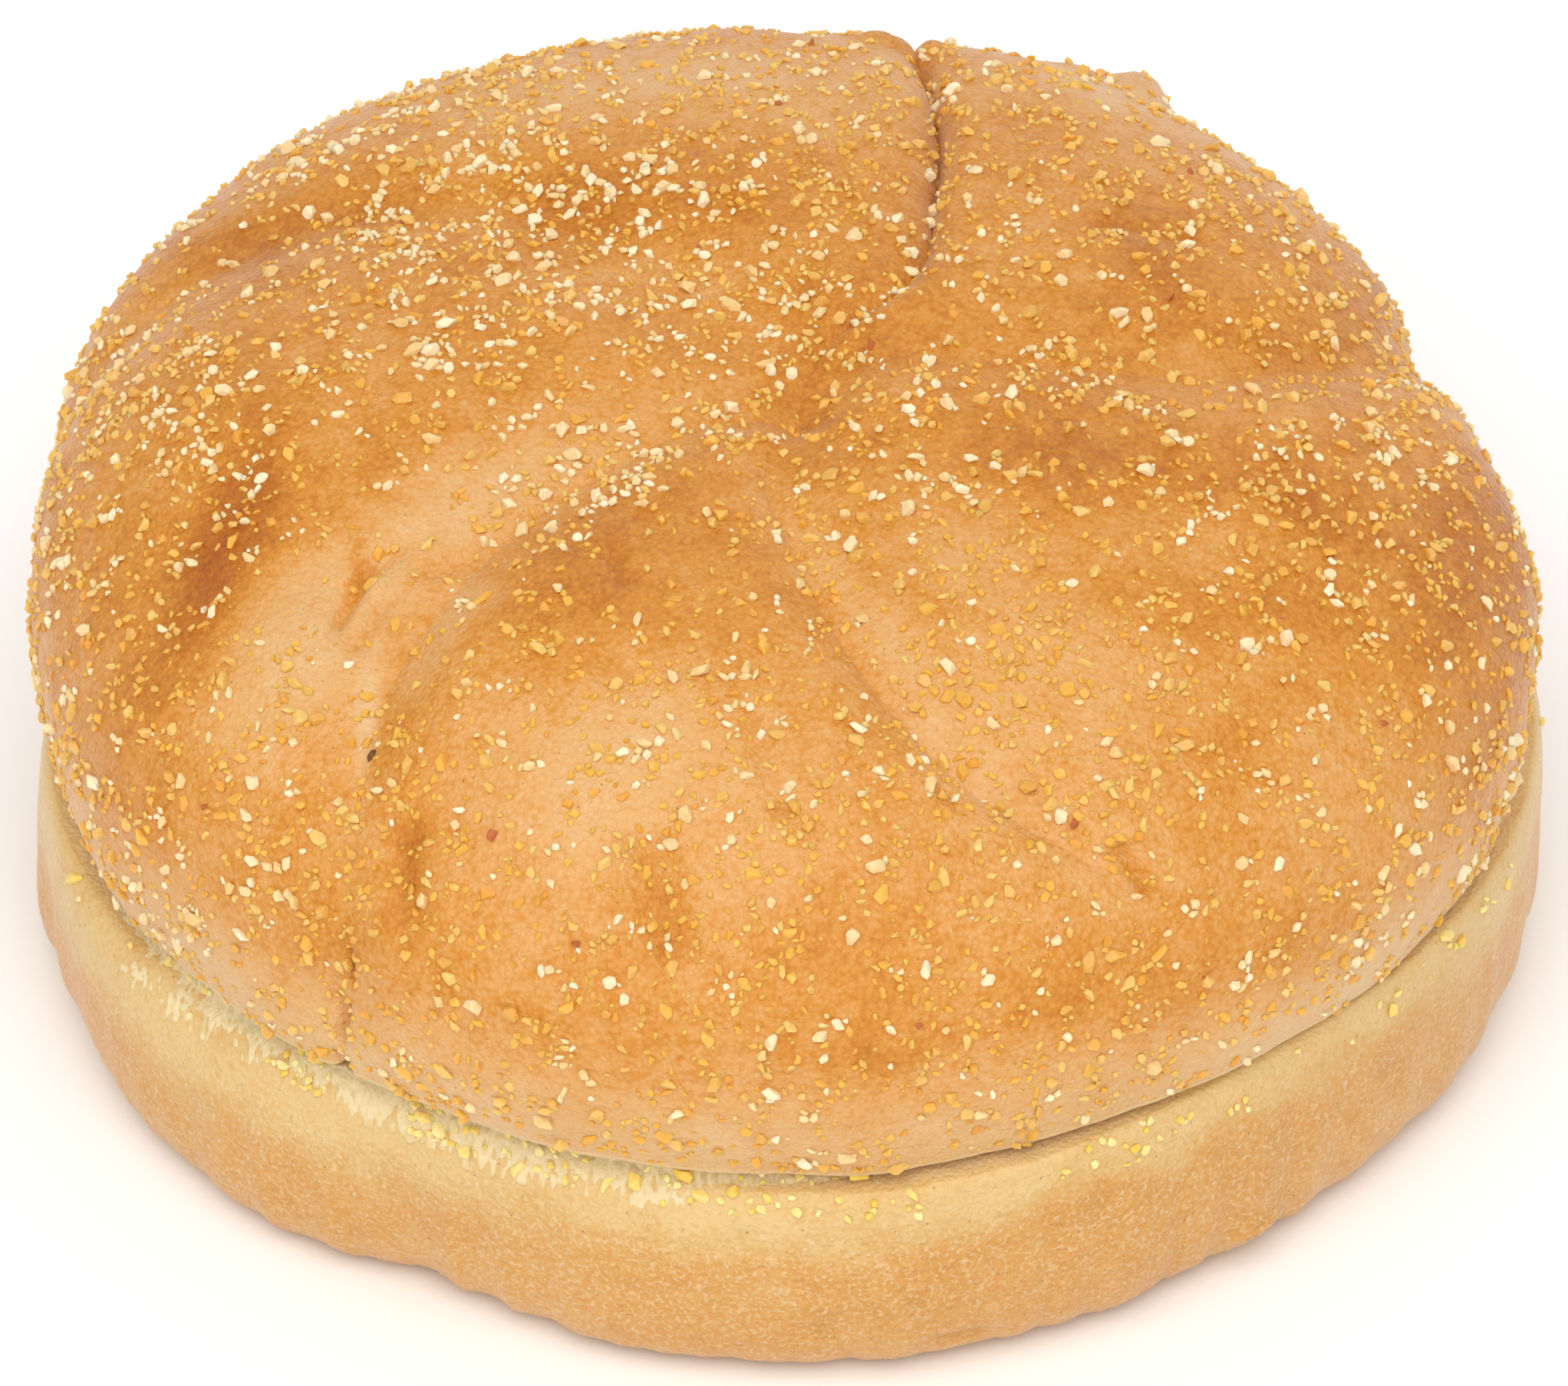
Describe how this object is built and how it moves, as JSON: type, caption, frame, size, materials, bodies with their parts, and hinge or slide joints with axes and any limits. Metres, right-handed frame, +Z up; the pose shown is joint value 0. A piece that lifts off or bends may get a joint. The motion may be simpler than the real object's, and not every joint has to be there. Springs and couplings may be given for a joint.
{
  "type": "kaiser roll",
  "caption": "Round pinwheel-marked bread roll dusted with cornmeal, its cap overhanging a torn side seam, standing on a flat base.",
  "frame": {"origin": "on the table, under the middle of the roll's outline", "axes": "+Z up out of the crown; -Y towards the side that the picture shows in front; +X to the right as seen from there"},
  "size_m": [0.1125, 0.1126, 0.051],
  "materials": {
    "crust": "baked crust, satin, dusted with cornmeal grits"
  },
  "bodies": {
    "root": {"kaiser_roll": "crust"}
  },
  "joints": []
}
